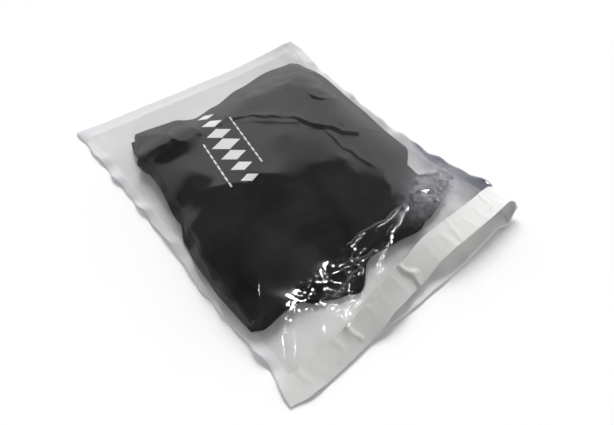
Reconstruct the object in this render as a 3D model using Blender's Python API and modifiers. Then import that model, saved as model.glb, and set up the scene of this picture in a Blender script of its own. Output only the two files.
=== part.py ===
"""A clear-fronted poly mailer bag with its mouth standing open and a folded T-shirt inside it.

Metres, +Z up. The bag lies on its back film. X runs across its width and Y along its length, with the mouth
at -Y. The origin is on the surface that it lies on, under the middle of the back film.
"""

import bmesh
import bpy
import numpy as np

MM = 0.001

# The flat bag: 10 in wide, and 12 in long with its lip
BAG_WIDTH = 254 * MM
BAG_LENGTH = 305 * MM

# The films' modelled thickness (a real one is 0.06 mm), and the gap kept between pieces that touch
FILM = 0.3 * MM
GAP = 0.3 * MM

# Cells of the film grids: across, and along past the liner
CELLS_ACROSS = 28
CELLS_ALONG = 26

# The closure: a strip of adhesive on the front film's mouth margin, under a wider paper liner
LINER_WIDTH = 22 * MM
LINER_ROWS = 4
LINER_THICKNESS = 0.15 * MM
ADHESIVE_ROWS = (1, 3)
ADHESIVE_THICKNESS = 0.15 * MM
ADHESIVE_RISE = FILM + 1.5 * GAP
LINER_RISE = ADHESIVE_RISE + ADHESIVE_THICKNESS + 1.5 * GAP

# How far each side seam is drawn in by the filling, and lifted: (place along Y, value), in mm
LEFT_INSET = [
    (-152.5, 0),
    (-140, 0.5),
    (-119, 4),
    (-85, 2),
    (-49, 0.5),
    (0, 3),
    (56, 2),
    (113, 0.5),
    (152.5, 0),
]
LEFT_LIFT = [(-152.5, 0.4), (-60, 1.5), (0, 2.5), (60, 2), (152.5, 0.4)]
RIGHT_INSET = [
    (-152.5, 0),
    (-120, 0),
    (-97, 5),
    (-60, 13),
    (0, 17),
    (60, 15),
    (82, 13),
    (110, 8),
    (135, 2),
    (152.5, 0),
]
RIGHT_LIFT = [(-152.5, 10), (-120, 11), (-95, 9), (-45, 8), (50, 8), (110, 4), (152.5, 0.6)]
LIFT_REACH = 26 * MM

# How far the far end is lifted, most at its right corner: (place along X, value), in mm
FAR_LIFT = [(-127, 0.4), (30, 0.5), (127, 6.5)]
FAR_LIFT_REACH = 34 * MM

# The mouth, in mm, (place along X, value): the front film's height there, and how far each film's cut edge
# stands back from the furthest point of the lip
MOUTH_HEIGHT = [(-127, 0.4), (-60, 1.5), (-26, 7.5), (3, 4.5), (50, 14), (92, 15), (119, 14), (127, 10.5)]
MOUTH_SETBACK = [
    (-127, 4.5),
    (-112, 1.4),
    (-92, 0.8),
    (-45, 2.8),
    (-27, 6),
    (-1, 8.5),
    (31, 12),
    (86, 11.5),
    (119, 12.5),
    (127, 10),
]
LIP_SETBACK = [
    (-127, 4.5),
    (-112, 0.8),
    (-92, 0),
    (-45, 2),
    (-8, 0),
    (45, 0),
    (80, 2),
    (104, 4),
    (116, 1.5),
    (127, 3.5),
]

# The folded shirt's four sides, in mm: left and right as X along Y, near and far as Y along X. Its rim is
# rolled over SHIRT_EDGE, SHIRT_RIM thick and SHIRT_BELOW of the thickness up, and the front film keeps
# SHIRT_CLEARANCE over it and SHIRT_MARGIN of its edge past it.
SHIRT_LEFT = [
    (-95, -116),
    (-58, -118),
    (-31, -117),
    (-8, -112),
    (14, -105),
    (70, -100),
    (80, -103),
    (92, -98),
    (116, -92),
]
SHIRT_RIGHT = [(-108, 54), (-86, 54), (-66, 76), (-42, 97), (20, 98), (81, 103), (108, 99)]
SHIRT_NEAR = [
    (-116, -94),
    (-107, -97),
    (-76, -95),
    (-56, -110),
    (-38, -119),
    (-8, -103),
    (40, -108),
    (54, -106),
]
SHIRT_FAR = [(-93, 114), (-58, 113), (-37, 101), (-15, 104), (19, 113), (62, 121), (88, 118), (99, 109)]
SHIRT_THICK = [(-120, 17), (-60, 21), (20, 24), (70, 23), (120, 18)]
SHIRT_EDGE = 12 * MM
SHIRT_RIM = 0.5 * MM
SHIRT_BELOW = 0.35
SHIRT_CELLS = 14
SHIRT_CLEARANCE = 2.4 * MM
SHIRT_MARGIN = 0.6
DRAPE_ROUNDS = 600


def ease(stations, at):
    """Reads a curve through (place, value) stations in mm, level at each of them, at a place in metres."""
    places, values = np.array(stations, float).T * MM
    i = np.clip(np.searchsorted(places, at) - 1, 0, len(places) - 2)
    t = np.clip((at - places[i]) / (places[i + 1] - places[i]), 0, 1)
    return values[i] + (values[i + 1] - values[i]) * t * t * (3 - 2 * t)


def film_rows():
    """Distances from the mouth edge of the film grid's rows: fine under the liner, coarser past it."""
    under_liner = np.linspace(0, LINER_WIDTH, LINER_ROWS + 1)
    return np.append(under_liner, np.linspace(LINER_WIDTH, BAG_LENGTH, CELLS_ALONG + 1)[1:])


def film_plan(setback):
    """Plan places of a film's grid points, as two arrays (across, along), for a mouth edge so far back."""
    half = BAG_WIDTH / 2
    share = film_rows() / BAG_LENGTH
    flat = np.linspace(-half, half, CELLS_ACROSS + 1)
    mouth = -BAG_LENGTH / 2 + ease(setback, flat)
    y = mouth[:, None] + (BAG_LENGTH / 2 - mouth)[:, None] * share
    left = -half + ease(LEFT_INSET, y)
    right = half - ease(RIGHT_INSET, y)
    x = left + (right - left) * (flat[:, None] + half) / BAG_WIDTH
    return x, y


def seam_rise(x, y):
    """Height of the back film's underside: flat on the surface, curving up to each lifted seam."""
    half = BAG_WIDTH / 2
    from_left = x + half - ease(LEFT_INSET, y)
    from_right = half - ease(RIGHT_INSET, y) - x
    left = ease(LEFT_LIFT, y) * np.clip(1 - from_left / LIFT_REACH, 0, 1) ** 2
    right = ease(RIGHT_LIFT, y) * np.clip(1 - from_right / LIFT_REACH, 0, 1) ** 2
    far = ease(FAR_LIFT, x) * np.clip(1 - (BAG_LENGTH / 2 - y) / FAR_LIFT_REACH, 0, 1) ** 1.5
    return left + right + far


def shirt_share(x, y):
    """1 over the shirt, falling round its rolled edge to 0 at its outline, and below 0 outside."""
    inside = np.minimum(
        np.minimum(x - ease(SHIRT_LEFT, y), ease(SHIRT_RIGHT, y) - x),
        np.minimum(y - ease(SHIRT_NEAR, x), ease(SHIRT_FAR, x) - y),
    )
    t = np.clip(inside / SHIRT_EDGE, -1, 1)
    return np.where(t > 0, np.sqrt(1 - (1 - np.abs(t)) ** 2), t)


def drape(height, floor, rows):
    """Draws a film tight over what lies under it, with its four edges held."""
    before, after = np.diff(rows)[:-1], np.diff(rows)[1:]
    for _ in range(DRAPE_ROUNDS):
        across = (height[:-2, 1:-1] + height[2:, 1:-1]) / 2
        along = (height[1:-1, :-2] * after + height[1:-1, 2:] * before) / (before + after)
        height[1:-1, 1:-1] = np.maximum((across + along) / 2, floor[1:-1, 1:-1])
    return height


def front_film_points():
    """The front film's underside: sealed to the back film on three sides and tight over the shirt."""
    x, y = film_plan(MOUTH_SETBACK)
    floor = seam_rise(x, y) + FILM + GAP
    height = floor.copy()
    height[:, 0] = np.maximum(ease(MOUTH_HEIGHT, x[:, 0]) + FILM + GAP, floor[:, 0])
    shirt = shirt_share(x, y)
    over_shirt = ease(SHIRT_THICK, y) * np.maximum(shirt, 0) + SHIRT_CLEARANCE
    floor = np.where(shirt > -SHIRT_MARGIN, np.maximum(floor, over_shirt), floor)
    return np.stack([x, y, drape(height, floor, film_rows())], axis=2)


def sheet(name, points, thickness, colour, roughness, rise=0.0):
    """A thin sheet on a grid of points, thickened upwards by a Solidify modifier."""
    across, along = points.shape[0] - 1, points.shape[1] - 1
    bm = bmesh.new()
    bmesh.ops.create_grid(bm, x_segments=across, y_segments=along, size=1)
    for v in bm.verts:
        v.co = points[round((v.co.x + 1) / 2 * across), round((v.co.y + 1) / 2 * along)]
    part = add_part(name, bm, colour, roughness)
    part.location.z = rise
    thicken = part.modifiers.new("thickness", "SOLIDIFY")
    thicken.thickness = thickness
    thicken.offset = 1
    return part


def folded_shirt():
    """The shirt folded to a soft block: its four sides blended over a grid, and rounded by subdivision."""
    t = (1 - np.cos(np.linspace(0, np.pi, SHIRT_CELLS + 1))) / 2
    u, v = np.meshgrid(t, t, indexing="ij")
    near_x = (SHIRT_LEFT[0][1] + (SHIRT_RIGHT[0][1] - SHIRT_LEFT[0][1]) * u) * MM
    far_x = (SHIRT_LEFT[-1][1] + (SHIRT_RIGHT[-1][1] - SHIRT_LEFT[-1][1]) * u) * MM
    near_y, far_y = ease(SHIRT_NEAR, near_x), ease(SHIRT_FAR, far_x)
    y = near_y + (far_y - near_y) * v
    left, right = ease(SHIRT_LEFT, y), ease(SHIRT_RIGHT, y)
    x = left + (right - left) * u
    share = np.maximum(shirt_share(x, y), 0)
    share[[0, -1], :] = 0
    share[:, [0, -1]] = 0
    thick = ease(SHIRT_THICK, y)
    bottom = FILM + 2 * GAP + thick * SHIRT_BELOW * (1 - share)
    top = bottom + (thick - bottom) * share + SHIRT_RIM
    bm = bmesh.new()
    for surface in (bottom, top):
        grid = bmesh.ops.create_grid(bm, x_segments=SHIRT_CELLS, y_segments=SHIRT_CELLS, size=1)
        for vert in grid["verts"]:
            i, j = (round((c + 1) / 2 * SHIRT_CELLS) for c in vert.co.xy)
            vert.co = x[i, j], y[i, j], surface[i, j]
    bmesh.ops.bridge_loops(bm, edges=[edge for edge in bm.edges if edge.is_boundary])
    bmesh.ops.recalc_face_normals(bm, faces=bm.faces[:])
    part = add_part("folded_shirt", bm, (0.012, 0.012, 0.014), 0.9)
    rounded = part.modifiers.new("rounded", "SUBSURF")
    rounded.levels = 1
    rounded.render_levels = 1
    return part


def add_part(name, bm, colour, roughness):
    """An object from a bmesh, with a Principled material of its own, in the bag's collection."""
    mesh = bpy.data.meshes.new(name)
    bm.to_mesh(mesh)
    bm.free()
    mesh.shade_smooth()
    material = bpy.data.materials.new(name)
    material.use_nodes = True
    shader = material.node_tree.nodes["Principled BSDF"]
    shader.inputs["Base Color"].default_value = (*colour, 1)
    shader.inputs["Roughness"].default_value = roughness
    mesh.materials.append(material)
    part = bpy.data.objects.new(name, mesh)
    part.parent = bag
    parts.objects.link(part)
    return part


for old in list(bpy.data.objects):
    bpy.data.objects.remove(old, do_unlink=True)

parts = bpy.data.collections.new("poly_mailer_bag")
bpy.context.scene.collection.children.link(parts)
bag = bpy.data.objects.new("bag_origin", None)
parts.objects.link(bag)

back_x, back_y = film_plan(LIP_SETBACK)
back_points = np.stack([back_x, back_y, seam_rise(back_x, back_y)], axis=2)
front_points = front_film_points()
first, last = ADHESIVE_ROWS

sheet("back_film", back_points, FILM, (0.75, 0.75, 0.74), 0.35)
sheet("front_film", front_points, FILM, (0.82, 0.84, 0.85), 0.08)
adhesive_points = front_points[:, first : last + 1]
sheet("adhesive_strip", adhesive_points, ADHESIVE_THICKNESS, (0.70, 0.68, 0.55), 0.3, ADHESIVE_RISE)
liner_points = front_points[:, : LINER_ROWS + 1]
sheet("release_liner", liner_points, LINER_THICKNESS, (0.80, 0.80, 0.79), 0.4, LINER_RISE)
folded_shirt()
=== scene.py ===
"""A clear-fronted poly mailer bag lying with its mouth open and a folded black T-shirt inside it."""

import math

import bmesh
import bpy
import numpy as np
from mathutils import Matrix, Vector
from mathutils.geometry import delaunay_2d_cdt


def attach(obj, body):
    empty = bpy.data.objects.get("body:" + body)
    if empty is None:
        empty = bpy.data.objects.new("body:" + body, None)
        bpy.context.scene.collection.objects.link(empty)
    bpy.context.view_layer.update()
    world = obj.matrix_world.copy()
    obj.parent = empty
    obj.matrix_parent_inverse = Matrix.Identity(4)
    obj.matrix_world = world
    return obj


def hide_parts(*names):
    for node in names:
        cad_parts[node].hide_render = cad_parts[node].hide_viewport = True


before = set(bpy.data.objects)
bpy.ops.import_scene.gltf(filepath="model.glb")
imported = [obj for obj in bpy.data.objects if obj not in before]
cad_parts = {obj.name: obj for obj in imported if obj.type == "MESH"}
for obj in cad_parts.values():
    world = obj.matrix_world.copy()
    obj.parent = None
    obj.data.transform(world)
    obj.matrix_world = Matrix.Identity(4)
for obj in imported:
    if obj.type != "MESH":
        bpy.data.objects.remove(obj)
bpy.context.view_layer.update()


# BACK FILM. One sheet of white co-extruded polyethylene, 0.06 mm thick, cut 10 by 12 in with the lip past
# the mouth. It lies flat under the shirt, and its two long edges are drawn in and lifted where the filling
# pulls on the side welds. All lengths here are in mm, and become metres when a mesh is made.

BAG_WIDE, BAG_LONG = 254.0, 305.0
LEFT_INSET = [
    (-152.5, 0),
    (-140, 0.5),
    (-119, 4),
    (-85, 2),
    (-49, 0.5),
    (0, 3),
    (56, 2),
    (113, 0.5),
    (152.5, 0),
]
RIGHT_INSET = [
    (-152.5, 5),
    (-141, 0),
    (-120, 0),
    (-97, 5),
    (-60, 13),
    (0, 17),
    (60, 15),
    (82, 13),
    (110, 8),
    (138, 2.5),
    (152.5, 7),
]
LEFT_LIFT = [(-152.5, 0.4), (-110, 2.6), (-60, 1.5), (0, 2.5), (60, 1.6), (152.5, 0.4)]
RIGHT_LIFT = [(-152.5, 10), (-120, 11), (-95, 9), (-45, 8), (50, 8), (110, 4), (152.5, 0.6)]
LIFT_REACH, MOUTH_LIFT_REACH = 26.0, 13.0
MOUTH_LIFT_FROM, MOUTH_LIFT_EASE = -112, 20
FAR_LIFT = [(-127, 0.4), (30, 0.5), (127, 6.5)]
FAR_LIFT_REACH = 34.0
LIP_SETBACK = [
    (-127, 4.5),
    (-112, 0.8),
    (-92, 0),
    (-45, 2),
    (-8, 0),
    (45, 0),
    (80, 2),
    (100, 4),
    (114, 0.5),
    (127, 5),
]
INSET_WAVES = ((0.7, 33, 0.6), (0.5, 19, 2))  # share, length and start of each
LEFT_WAVE, RIGHT_WAVE, WAVE_FADE = 1.5, 0.8, 25
BUCKLES = ((1.2, 37.0, 0.6), (0.7, 22.0, 2))  # height, length and start of each
BUCKLE_REACH, BUCKLE_FADE = 16.0, 30
FILM_THICK = 0.12
SIDE_WELD, FAR_WELD, WELD_RIDGE, RIDGE_WIDE = 8.5, 11.0, 0.22, 0.9
FILLING_MIDDLE, FILLING_HALF, FILLING_NEAR = -5, 98, -98
SLACK_HIGH, SLACK_SIZE, SLACK_FROM_EDGE = 0.8, 26, 6
SLACK_EASE_BESIDE, SLACK_EASE_BEYOND = 14, 16
BACK_CELLS = (140, 168)


def margin_slack(x, y):
    """1 where the film is loose, beside and beyond the filling, and 0 where it is pressed flat."""
    beside = np.clip((np.abs(x - FILLING_MIDDLE) - FILLING_HALF) / SLACK_EASE_BESIDE, 0, 1)
    beyond = np.clip((FILLING_NEAR - y) / SLACK_EASE_BEYOND, 0, 1)
    return np.maximum(beside, beyond)


def ease(stations, at):
    """A curve through (place, value) stations, level at each of them, read at a place."""
    places, values = np.array(stations, float).T
    i = np.clip(np.searchsorted(places, at) - 1, 0, len(places) - 2)
    t = np.clip((at - places[i]) / (places[i + 1] - places[i]), 0, 1)
    return values[i] + (values[i + 1] - values[i]) * t * t * (3 - 2 * t)


def swell(x, y, size, seed, waves=9):
    """Soft uneven waves about size mm long and about 1 high, the sum of sines in random directions."""
    draw = np.random.default_rng(seed)
    total = 0 * x
    for _ in range(waves):
        turn = draw.uniform(0, math.tau)
        length = size * draw.uniform(0.7, 1.6)
        start = draw.uniform(0, math.tau)
        total = total + np.sin(math.tau * (x * math.cos(turn) + y * math.sin(turn)) / length + start)
    return total / math.sqrt(waves / 2)


def side_insets(y):
    """How far the left and the right side weld are drawn in, with the small waves of a pulled weld."""
    wave = sum(part * (1 + np.sin(math.tau * y / long + start)) / 2 for part, long, start in INSET_WAVES)
    held = np.clip((BAG_LONG / 2 - np.abs(y)) / WAVE_FADE, 0, 1)
    return ease(LEFT_INSET, y) + LEFT_WAVE * wave * held, ease(RIGHT_INSET, y) + RIGHT_WAVE * wave * held


def film_plan(across, along, setback):
    """Plan places of a film's grid, from shares across and along it, its mouth set back from the lip."""
    half = BAG_WIDE / 2
    flat = BAG_WIDE * across - half
    mouth = -BAG_LONG / 2 + ease(setback, flat)
    y = mouth[:, None] + (BAG_LONG / 2 - mouth)[:, None] * along
    left, right = side_insets(y)
    left, right = left - half, half - right
    return left + (right - left) * (flat[:, None] + half) / BAG_WIDE, y


def side_distances(x, y):
    """How far a place lies inside the left and the right side weld's outer edge."""
    left, right = side_insets(y)
    return x + BAG_WIDE / 2 - left, BAG_WIDE / 2 - right - x


def back_rise(x, y):
    """The back film's height: flat under the shirt, lifted and buckled along its welds, loose beside them."""
    from_left, from_right = side_distances(x, y)
    left = ease(LEFT_LIFT, y) * np.clip(1 - from_left / LIFT_REACH, 0, 1) ** 2
    near_mouth = np.clip((MOUTH_LIFT_FROM - y) / MOUTH_LIFT_EASE, 0, 1)
    reach = LIFT_REACH + (MOUTH_LIFT_REACH - LIFT_REACH) * near_mouth
    right = ease(RIGHT_LIFT, y) * np.clip(1 - from_right / reach, 0, 1) ** 2
    far = ease(FAR_LIFT, x) * np.clip(1 - (BAG_LONG / 2 - y) / FAR_LIFT_REACH, 0, 1) ** 1.5
    buckle = sum(height * np.sin(math.tau * y / length + start) for height, length, start in BUCKLES)
    from_side = np.minimum(from_left, from_right)
    edge = np.clip(1 - from_side / BUCKLE_REACH, 0, 1) ** 2
    fade = np.clip((BAG_LONG / 2 - np.abs(y)) / BUCKLE_FADE, 0, 1)
    seal = WELD_RIDGE * np.exp(-(((from_side - SIDE_WELD) / RIDGE_WIDE) ** 2))
    seal = seal + WELD_RIDGE * np.exp(-(((BAG_LONG / 2 - y - FAR_WELD) / RIDGE_WIDE) ** 2))
    off_edge = np.clip(from_side / SLACK_FROM_EDGE, 0, 1)
    slack = SLACK_HIGH * (1 + swell(x, y, SLACK_SIZE, 51) / 2) * off_edge * margin_slack(x, y)
    return np.maximum(left + right + far + buckle * edge * fade, 0) + seal + slack


def sheet_mesh(name, x, y, z):
    """A sheet on a grid of points given in mm, with its flat place as its UV map."""
    across, along = x.shape[0] - 1, x.shape[1] - 1
    bm = bmesh.new()
    uv = bm.loops.layers.uv.new("flat")
    bmesh.ops.create_grid(bm, x_segments=across, y_segments=along, size=1)
    places = {v: (round((v.co.x + 1) / 2 * across), round((v.co.y + 1) / 2 * along)) for v in bm.verts}
    for face in bm.faces:
        for loop in face.loops:
            i, j = places[loop.vert]
            loop[uv].uv = i / across, j / along
    for v, (i, j) in places.items():
        v.co = x[i, j] / 1000, y[i, j] / 1000, z[i, j] / 1000
    return add_piece(name, bm)


def add_piece(name, bm):
    """An object from a finished bmesh, riding on the bag."""
    mesh = bpy.data.meshes.new(name)
    bm.to_mesh(mesh)
    bm.free()
    mesh.shade_smooth()
    piece = bpy.data.objects.new(name, mesh)
    bpy.context.scene.collection.objects.link(piece)
    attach(piece, "root")
    return piece


def thicken(piece, thickness):
    """Gives a sheet its thickness, in mm."""
    wall = piece.modifiers.new("thickness", "SOLIDIFY")
    wall.thickness = thickness / 1000
    wall.offset = 1


def linear(hex_colour):
    """An sRGB hex value as the linear colour that a shader takes."""
    parts = [int(hex_colour[i : i + 2], 16) / 255 for i in (0, 2, 4)]
    return (*(c / 12.92 if c <= 0.04045 else ((c + 0.055) / 1.055) ** 2.4 for c in parts), 1)


def node(tree, kind, links=None, **settings):
    """Adds a node: settings name its properties or, failing that, its inputs, and links fill inputs."""
    made = tree.nodes.new(kind)
    for key, value in settings.items():
        if hasattr(made, key):
            setattr(made, key, value)
        else:
            made.inputs[key.replace("_", " ")].default_value = value
    for key, source in (links or {}).items():
        tree.links.new(source, made.inputs[key])
    return made


def new_material(name):
    """An empty node material: its tree, and the output node."""
    material = bpy.data.materials.new(name)
    material.use_nodes = True
    tree = material.node_tree
    tree.nodes.clear()
    return material, tree, tree.nodes.new("ShaderNodeOutputMaterial")


back_x, back_y = film_plan(*(np.linspace(0, 1, n + 1) for n in BACK_CELLS), LIP_SETBACK)
back_z = back_rise(back_x, back_y)
back_film = sheet_mesh("back_film_sheet", back_x, back_y, back_z)
thicken(back_film, FILM_THICK)

# White-pigmented polyethylene, blown as a film: satin, and faintly cloudy in patches about 22 mm across.
# It is painted a lighter white where it is welded, 8.5 mm down each side and 11 mm across the far end:
# painted light on the flat welds, set against the shade on the lifted margin beside them.
white_poly, tree, output = new_material("white polyethylene film")
place = node(tree, "ShaderNodeTexCoord").outputs["Object"]
flat_place = node(tree, "ShaderNodeUVMap", uv_map="flat").outputs["UV"]
flat_x, flat_y, _ = node(tree, "ShaderNodeSeparateXYZ", {"Vector": flat_place}).outputs
mirrored = node(tree, "ShaderNodeMath", {0: flat_x}, operation="PINGPONG")
mirrored.inputs[1].default_value = 0.5
in_side = node(tree, "ShaderNodeMapRange", {"Value": mirrored.outputs[0]})
in_far = node(tree, "ShaderNodeMapRange", {"Value": flat_y})
for strip, start, end in (
    (in_side, (SIDE_WELD + 0.8) / BAG_WIDE, SIDE_WELD / BAG_WIDE),
    (in_far, 1 - (FAR_WELD + 0.8) / BAG_LONG, 1 - FAR_WELD / BAG_LONG),
):
    strip.inputs["From Min"].default_value = start
    strip.inputs["From Max"].default_value = end
welded = node(tree, "ShaderNodeMath", {0: in_side.outputs[0], 1: in_far.outputs[0]}, operation="MAXIMUM")
cloudy = node(tree, "ShaderNodeTexNoise", {"Vector": place}, Scale=45, Detail=4)
tone = node(tree, "ShaderNodeValToRGB", {"Fac": cloudy.outputs["Fac"]})
tone.color_ramp.elements[0].color = linear("D8D8D6")
tone.color_ramp.elements[1].color = linear("E2E2E0")
# Painted light: the weld strips are mixed to a lighter white than the rest of the film.
weld_painted_light = node(tree, "ShaderNodeMix", {"Factor": welded.outputs[0]}, data_type="RGBA")
tree.links.new(tone.outputs["Color"], weld_painted_light.inputs[6])
weld_painted_light.inputs[7].default_value = linear("ECECEE")
bump = node(tree, "ShaderNodeBump", {"Height": cloudy.outputs["Fac"]}, Strength=0.3, Distance=0.0004)
film = node(
    tree,
    "ShaderNodeBsdfPrincipled",
    {"Base Color": weld_painted_light.outputs[2], "Normal": bump.outputs["Normal"]},
    Roughness=0.5,
    IOR=1.45,
)
tree.links.new(film.outputs["BSDF"], output.inputs["Surface"])
back_film.data.materials.append(white_poly)
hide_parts("back_film")


# FOLDED SHIRT. A black cotton jersey T-shirt folded to a block about 220 by 235 mm: five plies of folds, each
# with its own rolled edge, and a sleeve turned over at one far corner. It lies loose between the films.

SHIRT_LEFT = [
    (-95, -116),
    (-58, -118),
    (-31, -117),
    (-8, -112),
    (14, -105),
    (70, -100),
    (80, -103),
    (92, -98),
    (116, -92),
]
SHIRT_RIGHT = [(-108, 54), (-86, 54), (-66, 76), (-42, 97), (20, 98), (81, 103), (108, 99)]
SHIRT_NEAR = [(-116, -94), (-107, -97), (-76, -95), (-56, -98), (-8, -101), (40, -107), (54, -104)]
SHIRT_LOW_NEAR = [
    (-116, -94),
    (-107, -97),
    (-80, -96),
    (-48, -112),
    (-36, -117),
    (-8, -102),
    (40, -107),
    (54, -104),
]
SHIRT_FAR = [(-93, 111), (-58, 109), (-37, 101), (-15, 104), (19, 113), (62, 121), (88, 118), (99, 109)]
SHIRT_THICK = [(-120, 17), (-60, 21), (20, 24), (70, 23), (120, 18)]
SHIRT_LOW_RIGHT = [
    (-108, 58),
    (-97, 88),
    (-88, 111),
    (-80, 108),
    (-68, 86),
    (-58, 88),
    (-34, 96),
    (20, 98),
    (81, 103),
    (108, 99),
]
PLIES = 5
PLY_GROW = (0.3, 1.0, 0.2, -0.8, -2.2)
PLY_CELLS = ((64, 64), (64, 64), (64, 64), (64, 64), (110, 116))
PLY_ROLL = 2.6
CROWN_REACH = 34.0
CROWN_LOW = 0.68
SHIRT_FLOOR = 0.35
PLY_UNDER = 0.96
BLEND_SPAN = (-110, 75)
EDGE_WANDER = ((1.1, 17, 1.7), (0.7, 9.5, 2.9))  # height, length, and start for each seed
RUMPLES = ((0.4, 95, 3), (0.2, 42, 4))  # height, size and seed
SLEEVE = {"right": -49, "near": 67, "rise": 1.1, "lean": 0.08, "lean_from": 90, "roll": 1.6}
CREASE_ENDS = 6
SHIRT_FOLDS = [
    # path, width, height
    ([(-98, 12), (-80, 12), (-62, 5), (-46, -6)], 6, 0.7),
    ([(-100, -34), (-86, -22), (-66, -18)], 9, 0.5),
    ([(-92, -70), (-70, -62), (-40, -66), (-20, -60)], 12, 0.6),
    ([(10, -60), (26, -44), (34, -20)], 11, 0.5),
    ([(-80, 104), (-72, 86), (-70, 70)], 5, 0.6),
    ([(-70, -30), (-30, -46), (20, -50)], 13, 0.8),
    ([(-48, 6), (-6, -16), (46, -22)], 13, 0.8),
    ([(-50, -84), (-16, -76), (22, -80)], 10, 0.6),
    ([(50, 84), (66, 60), (84, 50)], 12, 0.8),
    ([(0, 96), (20, 84), (50, 76)], 12, 0.6),
]


def crease(x, y, path, width, height):
    """A ridge along a path of points, of half that width at its foot, dying away at its two ends."""
    best = np.full(x.shape, 1e9)
    share = np.zeros(x.shape)
    path = np.array(path, float)
    lengths = np.hypot(*np.diff(path, axis=0).T)
    starts = np.append(0, np.cumsum(lengths))
    for (ax, ay), (bx, by), long, before in zip(path[:-1], path[1:], lengths, starts):
        t = np.clip(((x - ax) * (bx - ax) + (y - ay) * (by - ay)) / long**2, 0, 1)
        away = np.hypot(x - ax - t * (bx - ax), y - ay - t * (by - ay))
        nearer = away < best
        best = np.where(nearer, away, best)
        share = np.where(nearer, (before + t * long) / starts[-1], share)
    ends = np.clip(np.minimum(share, 1 - share) * CREASE_ENDS, 0, 1)
    t = np.clip(1 - best / width, 0, 1)
    return height * ends * (t * t * (3 - 2 * t))


def shirt_sides(ply):
    """The four sides of one ply: left and right as X along Y, near and far as Y along X."""
    near = SHIRT_LOW_NEAR if ply < 2 else SHIRT_NEAR
    beside = SHIRT_LOW_RIGHT if ply < 2 else SHIRT_RIGHT
    grow = PLY_GROW[ply]
    wander = lambda at, seed: sum(
        high * np.sin(at / long + seed * start) for high, long, start in EDGE_WANDER
    )
    return (
        lambda y: ease(SHIRT_LEFT, y) - grow - wander(y, ply),
        lambda y: ease(beside, y) + grow + wander(y, ply + 7),
        lambda x: ease(near, x) - grow - wander(x, ply + 13),
        lambda x: ease(SHIRT_FAR, x) + grow + wander(x, ply + 19),
    )


def ply_inside(ply, x, y):
    """How far a place lies inside a ply's outline."""
    left, right, near, far = shirt_sides(ply)
    return np.minimum(np.minimum(x - left(y), right(y) - x), np.minimum(y - near(x), far(x) - y))


def shirt_height(x, y):
    """The block's full height at a place: crowned in the middle, with soft swells."""
    inside = np.clip(ply_inside(3, x, y) / CROWN_REACH, 0, 1)
    crown = CROWN_LOW + (1 - CROWN_LOW) * np.sin(inside * math.pi / 2)
    rumple = sum(height * swell(x, y, size, seed) for height, size, seed in RUMPLES)
    folds = sum(crease(x, y, *fold) for fold in SHIRT_FOLDS)
    from_right = SLEEVE["right"] - x - SLEEVE["lean"] * (y - SLEEVE["lean_from"])
    flap = np.clip(np.minimum(from_right, y - SLEEVE["near"]) / SLEEVE["roll"], 0, 1)
    flap = np.sqrt(1 - (1 - flap) ** 2) * SLEEVE["rise"]
    return ease(SHIRT_THICK, y) * crown + (rumple + folds) * inside + flap


def ply_surfaces(ply, x, y):
    """The underside and top of a ply, meeting round its rolled edge."""
    roll = np.clip(ply_inside(ply, x, y) / PLY_ROLL, 0, 1)
    half = np.sqrt(1 - (1 - roll) ** 2) / 2
    step = (shirt_height(x, y) - SHIRT_FLOOR) / PLIES
    middle = SHIRT_FLOOR + step * (ply + 0.5)
    return middle - step * half * PLY_UNDER, middle + step * half


def blended(sides, u, v, span):
    """Places inside four sides, from shares u across and v along."""
    left, right, near, far = sides
    x = span[0] + (span[1] - span[0]) * u
    for _ in range(3):
        y = near(x) + (far(x) - near(x)) * v
        x = left(y) + (right(y) - left(y)) * u
    return x, y


def eased_shares(cells, rim):
    """Shares from 0 to 1 that crowd towards both ends, the more so the nearer rim is to 1."""
    t = np.linspace(0, 1, cells + 1)
    return (1 - rim) * t + rim * (1 - np.cos(math.pi * t)) / 2


def shell_between(bm, x, y, low, high):
    """Adds a closed form between two height fields that meet at the rim."""
    across, along = x.shape[0] - 1, x.shape[1] - 1
    sides = []
    for surface in (low, high):
        made = bmesh.ops.create_grid(bm, x_segments=across, y_segments=along, size=1)["verts"]
        for v in made:
            i, j = round((v.co.x + 1) / 2 * across), round((v.co.y + 1) / 2 * along)
            v.co = x[i, j] / 1000, y[i, j] / 1000, surface[i, j] / 1000
        sides.append(made)
    faces = list({face for v in sides[0] for face in v.link_faces})
    bmesh.ops.reverse_faces(bm, faces=faces)


bm = bmesh.new()
for ply in range(PLIES):
    shares = np.meshgrid(*(eased_shares(n, 0.9) for n in PLY_CELLS[ply]), indexing="ij")
    ply_x, ply_y = blended(shirt_sides(ply), *shares, BLEND_SPAN)
    shell_between(bm, ply_x, ply_y, *ply_surfaces(ply, ply_x, ply_y))
bmesh.ops.remove_doubles(bm, verts=bm.verts[:], dist=1e-6)

# The chest print: a row of solid diamonds, largest in the middle, between two fine rules of short dashes
PRINT_MIDDLE, PRINT_TURN = (-39, 46), 9.5
PRINT_UNDER, PRINT_ON_CLOTH = 0.06, 0.22
DIAMONDS, DIAMOND_PITCH, DIAMOND_LONG, DIAMOND_WIDE, DIAMOND_TAPER = 7, 14.5, 14.0, 26.0, 0.13
RULES = ((-1, -46, 8), (1, -32, 30))  # side, near end and far end
RULE_OFFSET, RULE_WIDE, DASH, DASH_GAP = 17.0, 1.5, 5.2, 1.8


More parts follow.
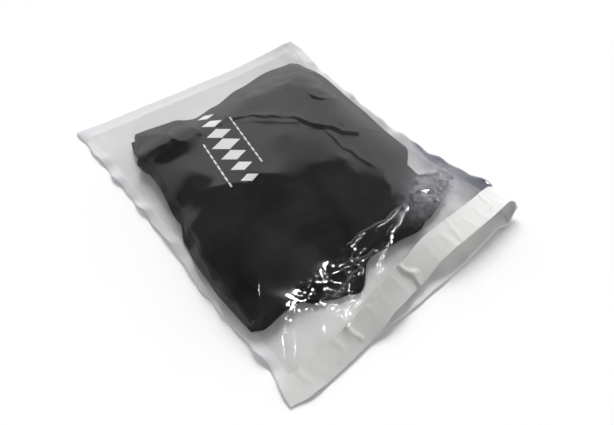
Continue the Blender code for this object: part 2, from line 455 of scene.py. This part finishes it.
def ink_field(bm, along, half_wide, middle=0.0):
    """Adds a flat field of ink on the top ply, of its half width at each place along a middle line."""
    across = np.linspace(-1, 1, 7)
    u = np.repeat(along[:, None], len(across), axis=1)
    v = middle + half_wide[:, None] * across
    a = math.radians(PRINT_TURN)
    y = PRINT_MIDDLE[1] + u * math.cos(a) - v * math.sin(a)
    x = PRINT_MIDDLE[0] + u * math.sin(a) + v * math.cos(a)
    z = ply_surfaces(PLIES - 1, x, y)[1]
    cloth_faces = len(bm.faces)
    shell_between(bm, x, y, z + PRINT_UNDER, z + PRINT_ON_CLOTH)
    bm.faces.ensure_lookup_table()
    for face in bm.faces[cloth_faces:]:
        face.material_index = 1


for k in range(DIAMONDS):
    from_middle = k - (DIAMONDS - 1) / 2
    size = 1 - DIAMOND_TAPER * abs(from_middle)
    share = np.linspace(-1, 1, 13)
    half_wide = np.maximum(1 - np.abs(share), 0.02) * DIAMOND_WIDE / 2 * size
    ink_field(bm, from_middle * DIAMOND_PITCH + share * DIAMOND_LONG / 2 * size, half_wide)
for side, near_end, far_end in RULES:
    for start in np.arange(near_end, far_end, DASH + DASH_GAP):
        along = np.linspace(start, start + DASH, 6)
        ink_field(bm, along, np.full(6, RULE_WIDE / 2), side * RULE_OFFSET)
bmesh.ops.recalc_face_normals(bm, faces=bm.faces[:])
folded_shirt = add_piece("folded_shirt_plies", bm)

# Cotton single jersey, knitted and dyed black: matt and soft, with knit ribs 0.9 mm apart, drawn a little
# coarser than a T-shirt's 0.75 mm. Its tone wanders in patches about 40 mm across: painted haze and shade,
# standing in for the film's dim reflections and the shade of the shirt's soft folds.
jersey, tree, output = new_material("black cotton jersey")
place = node(tree, "ShaderNodeTexCoord").outputs["Object"]
knit = node(tree, "ShaderNodeTexWave", {"Vector": place}, Scale=350, Distortion=1, Detail=1)
# Painted haze and shade: random lighter and darker patches on the jersey, in place of film reflections and
# fold shade.
specks_and_painted_haze = node(tree, "ShaderNodeTexNoise", {"Vector": place}, Scale=26, Detail=7, Distortion=0.6)
tone = node(tree, "ShaderNodeValToRGB", {"Fac": specks_and_painted_haze.outputs["Fac"]})
tone.color_ramp.elements[0].position = 0.3
tone.color_ramp.elements[0].color = linear("08080A")
tone.color_ramp.elements[1].position = 0.72
tone.color_ramp.elements[1].color = linear("28282A")
bump = node(tree, "ShaderNodeBump", {"Height": knit.outputs["Fac"]}, Strength=0.15, Distance=0.0001)
cloth = node(
    tree,
    "ShaderNodeBsdfPrincipled",
    {"Base Color": tone.outputs["Color"], "Normal": bump.outputs["Normal"]},
    Roughness=0.95,
    Sheen_Weight=0.05,
    Specular_IOR_Level=0.2,
)
tree.links.new(cloth.outputs["BSDF"], output.inputs["Surface"])
folded_shirt.data.materials.append(jersey)

# Plastisol ink, screen-printed and heat-cured: a dense and nearly matt white, uneven in specks 1 mm across
# where the cloth shows in it.
plastisol, tree, output = new_material("white screen-print ink")
place = node(tree, "ShaderNodeTexCoord").outputs["Object"]
specks_and_painted_haze = node(tree, "ShaderNodeTexNoise", {"Vector": place}, Scale=900, Detail=2)
tone = node(tree, "ShaderNodeValToRGB", {"Fac": specks_and_painted_haze.outputs["Fac"]})
tone.color_ramp.elements[0].color = linear("D4D4D2")
tone.color_ramp.elements[1].color = linear("F4F4F2")
ink = node(tree, "ShaderNodeBsdfPrincipled", {"Base Color": tone.outputs["Color"]}, Roughness=0.55)
tree.links.new(ink.outputs["BSDF"], output.inputs["Surface"])
folded_shirt.data.materials.append(plastisol)
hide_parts("folded_shirt")


# FRONT FILM. Clear polyethylene, 0.06 mm thick, heat-welded to the back film along both sides and the far
# end, drawn over the shirt and standing open at the mouth, which gapes widest right of the middle.


def graded(count, spans):
    """Shares from 0 to 1 in count steps, from (length, cell) spans laid end to end."""
    lengths, cells = np.array(spans, float).T
    ends = np.append(0, np.cumsum(lengths)) / lengths.sum()
    used = np.append(0, np.cumsum(lengths / cells))
    return np.interp(np.linspace(0, used[-1], count + 1), used, ends)


# Cell sizes in mm along each side: finest where the film is crumpled, beside the mouth
FRONT_ACROSS = graded(200, [(10, 1.6), (150, 1.0), (94, 1.9)])
FRONT_ALONG = graded(240, [(72, 0.6), (45, 1.2), (178, 2.2)])
MOUTH_HEIGHT = [(-127, 0.4), (-60, 1.5), (-26, 7.5), (3, 4.5), (50, 14), (92, 15), (119, 14), (127, 10.5)]
MOUTH_SETBACK = [
    (-127, 4.5),
    (-112, 1.4),
    (-92, 0.8),
    (-45, 2.8),
    (-27, 6),
    (-1, 8.5),
    (31, 12),
    (86, 11.5),
    (119, 12.5),
    (127, 10),
]
WELD_GAP = 0.15
SHIRT_GAP = 0.35
DRAPE_STEPS, DRAPE_ROUNDS = (8, 4, 2, 1), 260


def tightened(height, floor, across, along, rounds):
    """Draws a film tight over what lies under it, with its four edges held."""
    shares = []
    for steps in (np.diff(across) * BAG_WIDE, np.diff(along) * BAG_LONG):
        before, after = steps[:-1], steps[1:]
        shares.append((1 / (before * (before + after)), 1 / (after * (before + after))))
    (left, right), (near, far) = shares
    left, right = left[:, None], right[:, None]
    total = left + right + near + far
    for _ in range(rounds):
        pull = left * height[:-2, 1:-1] + right * height[2:, 1:-1]
        pull = pull + near * height[1:-1, :-2] + far * height[1:-1, 2:]
        eased = 0.25 * height[1:-1, 1:-1] + 0.75 * pull / total
        height[1:-1, 1:-1] = np.maximum(eased, floor[1:-1, 1:-1])
    return height


def refit(coarse, old_shares, new_shares):
    """Reads a coarse grid of heights at a finer grid's places."""
    for axis in (0, 1):
        read = lambda line: np.interp(new_shares[axis], old_shares[axis], line)
        coarse = np.apply_along_axis(read, axis, coarse)
    return coarse


def patch(x, y, middle, reach, turn):
    """1 in the middle of an oval patch, dying away to nothing past its reach."""
    a = math.radians(turn)
    dx, dy = x - middle[0], y - middle[1]
    along, across = dx * math.cos(a) + dy * math.sin(a), dy * math.cos(a) - dx * math.sin(a)
    return np.exp(-(((along / reach[0]) ** 2 + (across / reach[1]) ** 2) ** 1.5))


def facets(x, y, middle, reach, turn, size, seed):
    """Flat facets about size mm across that meet in sharp creases, their corners up to 1 high or low."""
    draw = np.random.default_rng(seed)
    a = math.radians(turn)
    wide, deep = reach[0] * 1.7, reach[1] * 1.7
    corners = []
    for along in np.arange(-wide, wide + size, size):
        for across in np.arange(-deep, deep + size, size * 0.9):
            u, v = along + draw.uniform(-0.45, 0.45) * size, across + draw.uniform(-0.45, 0.45) * size
            place_x = middle[0] + u * math.cos(a) - v * math.sin(a)
            place_y = middle[1] + u * math.sin(a) + v * math.cos(a)
            corners.append(Vector((place_x, place_y)))
    high = draw.uniform(-1, 1, len(corners))
    verts, _, faces, origins, _, _ = delaunay_2d_cdt(corners, [], [], 0, 1e-6)
    high = [high[source[0]] for source in origins]
    total = np.zeros(x.shape)
    for a, b, c in faces:
        (ax, ay), (bx, by), (cx, cy) = verts[a], verts[b], verts[c]
        area = (bx - ax) * (cy - ay) - (cx - ax) * (by - ay)
        if abs(area) < 1e-6:
            continue
        share_b = ((x - ax) * (cy - ay) - (cx - ax) * (y - ay)) / area
        share_c = ((bx - ax) * (y - ay) - (x - ax) * (by - ay)) / area
        inside = (share_b >= 0) & (share_c >= 0) & (share_b + share_c <= 1)
        level = high[a] + (high[b] - high[a]) * share_b + (high[c] - high[a]) * share_c
        total = np.where(inside, level, total)
    return total


def paint(piece, name, field):
    """Gives each point of a sheet a value of its own, from a field on the sheet's grid."""
    across, along = (n - 1 for n in field.shape)
    flat_shares = piece.data.uv_layers["flat"].data
    values = np.zeros(len(piece.data.vertices))
    for loop in piece.data.loops:
        u, v = flat_shares[loop.index].uv
        values[loop.vertex_index] = field[round(u * across), round(v * along)]
    piece.data.attributes.new(name, "FLOAT", "POINT").data.foreach_set("value", values)


def edges_held(height, held):
    """Sets a grid's four edges to the held heights."""
    height[[0, -1], :] = held[[0, -1], :]
    height[:, [0, -1]] = held[:, [0, -1]]
    return height


front_x, front_y = film_plan(FRONT_ACROSS, FRONT_ALONG, MOUTH_SETBACK)
weld_z = back_rise(front_x, front_y) + FILM_THICK + WELD_GAP
under_front = weld_z.copy()
for ply in range(PLIES):
    over_ply = ply_surfaces(ply, front_x, front_y)[1] + SHIRT_GAP
    on_ply = ply_inside(ply, front_x, front_y) > 0
    under_front = np.where(on_ply, np.maximum(under_front, over_ply), under_front)
held = weld_z.copy()
held[:, 0] = np.maximum(ease(MOUTH_HEIGHT, front_x[:, 0]) + FILM_THICK + WELD_GAP, weld_z[:, 0])
front_z = None
for step in DRAPE_STEPS:
    grid = (slice(None, None, step), slice(None, None, step))
    shares = (FRONT_ACROSS[::step], FRONT_ALONG[::step])
    start = weld_z[grid].copy() if front_z is None else refit(front_z, coarser, shares)
    front_z = tightened(edges_held(start, held[grid]), under_front[grid], *shares, DRAPE_ROUNDS)
    coarser = shares

# The creases, each a path in mm with its width and height: those that cross the liner, those drawn out to a
# point beside the shirt's near corner, and the long cracks over the far half.
CREASES = [
    ([(-4, -121), (-1, -128), (4, -136), (1, -146)], 4.0, 2.3),
    ([(106, -114), (102, -126), (98, -138)], 2.6, 1.0),
    ([(60, -112), (57, -126), (52, -142)], 2.4, 0.5),
    ([(-66, -128), (-64, -137), (-61, -147)], 3.0, 1.0),
    ([(42, -89), (16, -91), (-11, -89), (-34, -90)], 2.6, 1.1),
    ([(42, -91), (15, -99), (-8, -110), (-23, -121)], 2.6, 1.2),
    ([(-20, -92), (-32, -99), (-29, -108), (-46, -112), (-76, -115)], 2.6, 1.2),
    ([(-41, -93), (-24, -104), (-12, -103), (-6, -112)], 2.4, 1.1),
    ([(-86, -100), (-104, -110), (-113, -121), (-107, -125), (-96, -112), (-84, -100)], 2.0, 1.3),
    ([(-62, -110), (-54, -119), (-66, -132), (-58, -136)], 2.2, 0.9),
    ([(-72, -121), (-55, -121), (-44, -127), (-32, -128)], 2.2, 0.8),
    ([(-44, 75), (-30, 70), (-21, 73), (-8, 66), (2, 63), (8, 55), (19, 47), (25, 41)], 2.2, 0.5),
    ([(12, 53), (24, 42), (35, 29), (46, 27)], 1.6, 0.3),
    ([(-24, 64), (-4, 56), (12, 43), (30, 30)], 1.5, 0.22),
    ([(24, 43), (31, 36), (38, 21), (49, 10), (54, -1), (64, -4)], 2.6, 0.65),
    ([(-2, 68), (14, 52), (21, 51), (32, 34), (41, 27)], 1.8, 0.5),
    ([(48, 8), (60, -8), (72, -8), (88, -19)], 2.2, 0.6),
    ([(48, 30), (42, 8), (41, -12), (46, -50)], 1.5, 0.35),
    ([(60, 60), (66, 44), (80, 36), (92, 40)], 3.0, 0.6),
    ([(30, 96), (48, 80), (72, 84)], 3.0, 0.5),
]
# The crumpled patches: middle, reach, turn, facet size and height, in mm
CRUMPLES = [
    ((-34, -103), (25, 15), 8, 5.0, 0.9),
    ((-51, -122), (19, 9), -20, 3.4, 0.5),
    ((-99, -113), (16, 10), 40, 4.0, 0.55),
    ((84, -86), (34, 17), 14, 7.5, 0.8),
    ((40, -90), (7, 5), 20, 2.6, 0.2),
    ((-84, -146), (14, 4), 0, 3.5, 0.2),
    ((18, -94), (26, 10), 12, 7.5, 0.45),
    ((26, 38), (50, 9), -40, 12.0, 0.3),
    ((-70, -104), (12, 10), 0, 3.5, 0.45),
]
FILM_SWELL = 0.12
CREASE_WANDER, CREASE_WANDER_SIZE = 0.7, 12
# The patch of painted reflection haze: middle, reach and turn
PAINTED_HAZE_PATCH = ((80, -89), (38, 18), 14)
# The strip of painted shade along the right weld: its width at places along Y, then its near and far ends
SEAM_SHADE_WIDE = ((-116, 16), (-75, 15), (-38, 4))
SEAM_SHADE_NEAR, SEAM_SHADE_FAR = -122, -36
# Faint kinks that the stiffer liner gives the margin, at uneven places along the mouth
KINK_FIRST, KINK_LAST, KINK_PITCH = -112, 118, 17.0
draw = np.random.default_rng(77)
for at in np.arange(KINK_FIRST, KINK_LAST, KINK_PITCH):
    at, lean = at + draw.uniform(-6, 6), draw.uniform(-5, 5)
    CREASES.append(([(at, -122), (at + lean, -146)], draw.uniform(2.5, 5), draw.uniform(0.15, 0.5)))

loose = np.clip((front_z - weld_z) / 2, 0, 1)
wrinkle = FILM_SWELL * swell(front_x, front_y, 60, 21) * loose
crumpled = np.zeros(front_x.shape)
for number, (middle, reach, turn, size, height) in enumerate(CRUMPLES):
    spread = patch(front_x, front_y, middle, reach, turn)
    folded = facets(front_x, front_y, middle, reach, turn, size, 30 + number)
    wrinkle = wrinkle + height * spread * (0.8 + folded)
    crumpled = np.maximum(crumpled, spread * min(1, height * 2))
uneven_x = front_x + CREASE_WANDER * swell(front_x, front_y, CREASE_WANDER_SIZE, 61)
uneven_y = front_y + CREASE_WANDER * swell(front_x, front_y, CREASE_WANDER_SIZE, 62)
for path, width, height in CREASES:
    wrinkle = wrinkle + crease(uneven_x, uneven_y, path, width, height)
from_side = np.minimum(*side_distances(front_x, front_y))
from_far = BAG_LONG / 2 - FAR_WELD - front_y
off_weld = np.clip((from_side - SIDE_WELD) / 3, 0, 1) * np.clip(from_far / 3, 0, 1)
front_z = np.maximum(front_z + wrinkle * off_weld, weld_z)
front_film = sheet_mesh("front_film_sheet", front_x, front_y, front_z)
paint(front_film, "crumpled", crumpled)
# A patch right of the shirt gets a painted haze that stands in for the film's reflections, and a strip along
# the right weld is tinted grey as painted shade on what shows through it.
paint(front_film, "painted_haze", patch(front_x, front_y, *PAINTED_HAZE_PATCH))
from_right = side_distances(front_x, front_y)[1]
painted_seam_shade = np.clip((np.interp(front_y, *zip(*SEAM_SHADE_WIDE)) - from_right) / 1.2, 0, 1)
painted_seam_shade = painted_seam_shade * np.clip((front_y - SEAM_SHADE_NEAR) / 3, 0, 1)
paint(front_film, "painted_seam_shade", painted_seam_shade * np.clip((SEAM_SHADE_FAR - front_y) / 8, 0, 1))
thicken(front_film, 0.06)

# Clear low-density polyethylene, blown as a film: a mirror gloss that grows at a slant, broken into fine
# crinkles about 3 mm across where it is crumpled. In a patch right of the shirt it carries a painted haze of
# reflection, a matt white in 7 mm spots, and along the right weld a grey tint of painted shade.
clear_poly, tree, output = new_material("clear polyethylene film")
painted_seam_shade = node(tree, "ShaderNodeAttribute", attribute_name="painted_seam_shade").outputs["Fac"]
# Painted shade: the film's transparency is tinted grey along the right weld.
tint = node(tree, "ShaderNodeMix", {"Factor": painted_seam_shade}, data_type="RGBA")
tint.inputs[6].default_value = linear("FBFBFB")
tint.inputs[7].default_value = linear("D4D4DA")
clear = node(tree, "ShaderNodeBsdfTransparent", {"Color": tint.outputs[2]})
place = node(tree, "ShaderNodeTexCoord").outputs["Object"]
cells = node(tree, "ShaderNodeTexVoronoi", {"Vector": place}, feature="DISTANCE_TO_EDGE", Scale=330)
distance = cells.outputs["Distance"]
ridges = node(tree, "ShaderNodeMapRange", {"Value": distance}, From_Max=0.2, To_Min=1, To_Max=0)
how_much = node(tree, "ShaderNodeAttribute", attribute_name="crumpled").outputs["Fac"]
lines = node(tree, "ShaderNodeMath", {0: ridges.outputs[0], 1: how_much}, operation="MULTIPLY")
bump = node(tree, "ShaderNodeBump", {"Height": lines.outputs[0]}, Strength=0.2, Distance=0.00012)
gloss = node(tree, "ShaderNodeBsdfGlossy", {"Normal": bump.outputs["Normal"]}, Roughness=0.06)
fresnel = node(tree, "ShaderNodeFresnel", IOR=1.52)
inner = node(tree, "ShaderNodeNewGeometry").outputs["Backfacing"]
share = node(tree, "ShaderNodeMath", {0: fresnel.outputs[0], 1: inner}, operation="SUBTRACT")
share.use_clamp = True
# Painted haze: in the patch right of the shirt, a matt white is mixed into the film in spots, in place of
# reflections.
painted_haze = node(tree, "ShaderNodeAttribute", attribute_name="painted_haze").outputs["Fac"]
painted_haze_spots = node(tree, "ShaderNodeTexNoise", {"Vector": place}, Scale=150, Detail=6, Distortion=1)
painted_haze_spots.inputs["Roughness"].default_value = 0.65
depth = node(tree, "ShaderNodeMapRange", {"Value": painted_haze_spots.outputs["Fac"]}, From_Min=0.38, From_Max=0.64)
depth.inputs["To Min"].default_value = 0.07
depth.inputs["To Max"].default_value = 0.3
painted_haze_amount = node(tree, "ShaderNodeMath", {0: painted_haze, 1: depth.outputs[0]}, operation="MULTIPLY")
haze = node(tree, "ShaderNodeBsdfDiffuse", Color=linear("DCDCE4"))
body = node(tree, "ShaderNodeMixShader", {0: painted_haze_amount.outputs[0], 1: clear.outputs[0], 2: haze.outputs[0]})
film = node(tree, "ShaderNodeMixShader", {0: share.outputs[0], 1: body.outputs[0], 2: gloss.outputs[0]})
tree.links.new(film.outputs["Shader"], output.inputs["Surface"])
front_film.data.materials.append(clear_poly)
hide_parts("front_film")


# ADHESIVE AND RELEASE LINER. A strip of clear pressure-sensitive adhesive along the front film's mouth, and
# the white silicone-coated liner that covers it until the bag is closed. Both follow the film.

LINER_WIDE = [(-127, 18.5), (-75, 18.5), (-20, 21), (30, 22.5), (127, 22.5)]
ADHESIVE_INSET = (5.0, 6.0)
ADHESIVE_CELLS, LINER_CELLS = (160, 8), (220, 18)
ADHESIVE_RISE, ADHESIVE_THICK = 0.07, 0.03
LINER_RISE, LINER_THICK = 0.11, 0.07
EDGE_ROW = 0.006


def on_front_film(cells, near_gap, far_gap, rise):
    """A strip's grid along the mouth, from near_gap to far_gap mm behind the film's cut edge and rise mm
    above it. Its outermost rows lie close together, which keeps its two long edges crisp."""
    shares = np.linspace(0, 1, cells[0] + 1)
    read = lambda line: np.interp(shares, FRONT_ACROSS, line)
    x, y, z = (np.apply_along_axis(read, 0, field) for field in (front_x, front_y, front_z))
    behind = y - y[:, :1]
    rows = np.linspace(0, 1, cells[1] + 1)
    rows[1], rows[-2] = EDGE_ROW, 1 - EDGE_ROW
    wanted = near_gap + (far_gap(x[:, 0]) - near_gap)[:, None] * rows
    along = lambda field: np.array([np.interp(w, b, f) for w, b, f in zip(wanted, behind, field)])
    return along(x), along(y), along(z) + rise


adhesive_far = lambda x: ease(LINER_WIDE, x) - ADHESIVE_INSET[1]
adhesive_points = on_front_film(ADHESIVE_CELLS, ADHESIVE_INSET[0], adhesive_far, ADHESIVE_RISE)
adhesive = sheet_mesh("adhesive_film", *adhesive_points)
thicken(adhesive, ADHESIVE_THICK)
liner_points = on_front_film(LINER_CELLS, 0.0, lambda x: ease(LINER_WIDE, x), LINER_RISE)
liner = sheet_mesh("release_liner_strip", *liner_points)
thicken(liner, LINER_THICK)

# White polyethylene tape, silicone-coated on its underside: satin, and cockled in soft waves about 20 mm
# long.
# It is painted greyer near its middle than at its two ends, and whitest at its right end: painted shade and
# painted light, for how the strip slopes to and from the light along the mouth.
siliconed, tree, output = new_material("siliconed white liner")
place = node(tree, "ShaderNodeTexCoord").outputs["Object"]
cloudy = node(tree, "ShaderNodeTexNoise", {"Vector": place}, Scale=50, Detail=4)
tone = node(tree, "ShaderNodeValToRGB", {"Fac": cloudy.outputs["Fac"]})
tone.color_ramp.elements[0].color = linear("DEDEDC")
tone.color_ramp.elements[1].color = linear("E9E9E7")
flat_place = node(tree, "ShaderNodeUVMap", uv_map="flat").outputs["UV"]
along_mouth = node(tree, "ShaderNodeSeparateXYZ", {"Vector": flat_place}).outputs["X"]
# Painted shade and light along the mouth: greyest near the middle, pure white at the right end.
laid = node(tree, "ShaderNodeValToRGB", {"Fac": along_mouth})
laid.color_ramp.elements[0].color = linear("EAEAE9")
laid.color_ramp.elements[1].color = linear("FFFFFF")
laid.color_ramp.elements.new(0.42).color = linear("C4C4C3")
laid.color_ramp.elements.new(0.66).color = linear("ECECEB")
shaded = node(tree, "ShaderNodeMix", {"Factor": laid.outputs["Alpha"]}, data_type="RGBA")
shaded.blend_type = "MULTIPLY"
tree.links.new(tone.outputs["Color"], shaded.inputs[6])
tree.links.new(laid.outputs["Color"], shaded.inputs[7])
bump = node(tree, "ShaderNodeBump", {"Height": cloudy.outputs["Fac"]}, Strength=0.4, Distance=0.0005)
strip = node(
    tree,
    "ShaderNodeBsdfPrincipled",
    {"Base Color": shaded.outputs[2], "Normal": bump.outputs["Normal"]},
    Roughness=0.55,
    IOR=1.4,
)
tree.links.new(strip.outputs["BSDF"], output.inputs["Surface"])
liner.data.materials.append(siliconed)

# Hot-melt adhesive, spread as a strip: clear with a straw tint, glossy, and uneven in 3 mm patches.
tacky, tree, output = new_material("clear pressure-sensitive adhesive")
place = node(tree, "ShaderNodeTexCoord").outputs["Object"]
beads = node(tree, "ShaderNodeTexNoise", {"Vector": place}, Scale=300, Detail=3)
tone = node(tree, "ShaderNodeValToRGB", {"Fac": beads.outputs["Fac"]})
tone.color_ramp.elements[0].color = linear("DAD5BD")
tone.color_ramp.elements[1].color = linear("ECE8D6")
gum = node(
    tree,
    "ShaderNodeBsdfPrincipled",
    {"Base Color": tone.outputs["Color"]},
    Roughness=0.25,
    Alpha=0.6,
)
tree.links.new(gum.outputs["BSDF"], output.inputs["Surface"])
adhesive.data.materials.append(tacky)
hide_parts("release_liner")
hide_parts("adhesive_strip")


# FLOOR, LIGHT AND CAMERA. A plain pale table top in a room with a bright far side and a dark ceiling, so
# that the film mirrors haze on its far half and dark on its near half. Two broad soft lights model the
# forms, and three long thin tube lamps show only as lines along the film's creases.

bm = bmesh.new()
bmesh.ops.create_grid(bm, x_segments=1, y_segments=1, size=3.0)
bmesh.ops.translate(bm, verts=bm.verts[:], vec=(0, 0, -0.0001))
floor_mesh = bpy.data.meshes.new("table_top")
bm.to_mesh(floor_mesh)
bm.free()
table_top = bpy.data.objects.new("table_top", floor_mesh)
bpy.context.scene.collection.objects.link(table_top)
# A table top painted matt white: even, so that only soft shadows show on it.
pale, tree, output = new_material("pale table")
matt = node(tree, "ShaderNodeBsdfDiffuse", Color=linear("FAFAFA"))
tree.links.new(matt.outputs["BSDF"], output.inputs["Surface"])
floor_mesh.materials.append(pale)

world = bpy.data.worlds.new("studio")
bpy.context.scene.world = world
world.use_nodes = True
tree = world.node_tree
tree.nodes.clear()
direction = node(tree, "ShaderNodeTexCoord").outputs["Generated"]
height = node(tree, "ShaderNodeSeparateXYZ", {"Vector": direction}).outputs["Z"]
far_side = node(tree, "ShaderNodeVectorMath", {0: direction}, operation="DOT_PRODUCT")
far_side.inputs[1].default_value = (0.64, 0.77, 0)
window = node(tree, "ShaderNodeValToRGB", {"Fac": far_side.outputs["Value"]})
window.color_ramp.elements[0].position = 0.0
window.color_ramp.elements[0].color = (0.3, 0.3, 0.31, 1)
window.color_ramp.elements[1].position = 0.62
window.color_ramp.elements[1].color = (1.4, 1.4, 1.43, 1)
above = node(tree, "ShaderNodeMapRange", {"Value": height}, From_Min=0.695, From_Max=0.75)
low = node(tree, "ShaderNodeMapRange", {"Value": height}, From_Min=0.2, From_Max=0.12)
ring = node(tree, "ShaderNodeBackground", {"Color": window.outputs["Color"]}, Strength=1.0)
ceiling = node(tree, "ShaderNodeBackground", Color=(0.03, 0.03, 0.035, 1), Strength=1.0)
horizon = node(tree, "ShaderNodeBackground", Color=(0.95, 0.95, 0.95, 1), Strength=1.0)
walls = node(tree, "ShaderNodeMixShader", {0: low.outputs[0], 1: ring.outputs[0], 2: horizon.outputs[0]})
room = node(tree, "ShaderNodeMixShader", {0: above.outputs[0], 1: walls.outputs[0], 2: ceiling.outputs[0]})
world_output = tree.nodes.new("ShaderNodeOutputWorld")
tree.links.new(room.outputs[0], world_output.inputs["Surface"])


def heading(azimuth, elevation):
    """The direction at an azimuth, from +Y towards +X, and an elevation, both in degrees."""
    a, e = math.radians(azimuth), math.radians(elevation)
    return Vector((math.sin(a) * math.cos(e), math.cos(a) * math.cos(e), math.sin(e)))


def soft_light(name, azimuth, elevation, spread, strength):
    """An even soft light from a patch of sky spread degrees across, which the film doesn't mirror."""
    light = bpy.data.lights.new(name, "SUN")
    light.energy = strength
    light.angle = math.radians(spread)
    lamp = bpy.data.objects.new(name, light)
    lamp.rotation_euler = heading(azimuth, elevation).to_track_quat("Z", "Y").to_euler()
    lamp.visible_glossy = False
    bpy.context.scene.collection.objects.link(lamp)


def tube_between(name, start, end, distance, width, power):
    """A long thin lamp between two directions, which only gloss shows, as lines along its creases."""
    ends = [heading(*direction) * distance for direction in (start, end)]
    middle, along = (ends[0] + ends[1]) / 2, ends[1] - ends[0]
    light = bpy.data.lights.new(name, "AREA")
    light.shape = "RECTANGLE"
    light.size, light.size_y = along.length, width
    light.energy = power
    lamp = bpy.data.objects.new(name, light)
    side = along.normalized()
    up = middle.normalized().cross(side).normalized()
    turn = Matrix((side, up, side.cross(up))).transposed()
    lamp.matrix_world = Matrix.Translation(middle) @ turn.to_4x4()
    lamp.visible_diffuse = False
    bpy.context.scene.collection.objects.link(lamp)


soft_light("key_light", 30, 36, 26, 2.9)
soft_light("fill_light", -150, 65, 40, 0.42)
tube_between("tube_lamp_left", (106, 79), (135, 72), 1.3, 0.05, 6)
tube_between("tube_lamp_low", (170, 42), (125, 24), 1.3, 0.05, 13)
tube_between("tube_lamp_right", (96, 44), (119, 28), 1.3, 0.035, 8)

VIEW_AZIMUTH, VIEW_ELEVATION, VIEW_ROLL = -47.2, 52.4, 8.2
VIEW_TARGET = Vector((-0.0184, -0.038, 0))
VIEW_DISTANCE = 0.381
lens = bpy.data.cameras.new("camera")
lens.lens = 27.0
lens.clip_start = 0.01
camera = bpy.data.objects.new("camera", lens)
a, e = math.radians(VIEW_AZIMUTH), math.radians(VIEW_ELEVATION)
back = Vector((math.sin(a) * math.cos(e), -math.cos(a) * math.cos(e), math.sin(e)))
turn = back.to_track_quat("Z", "Y").to_matrix() @ Matrix.Rotation(math.radians(VIEW_ROLL), 3, "Z")
camera.matrix_world = Matrix.Translation(VIEW_TARGET + back * VIEW_DISTANCE) @ turn.to_4x4()
bpy.context.scene.collection.objects.link(camera)
bpy.context.scene.camera = camera
bpy.context.scene.view_settings.view_transform = "Standard"
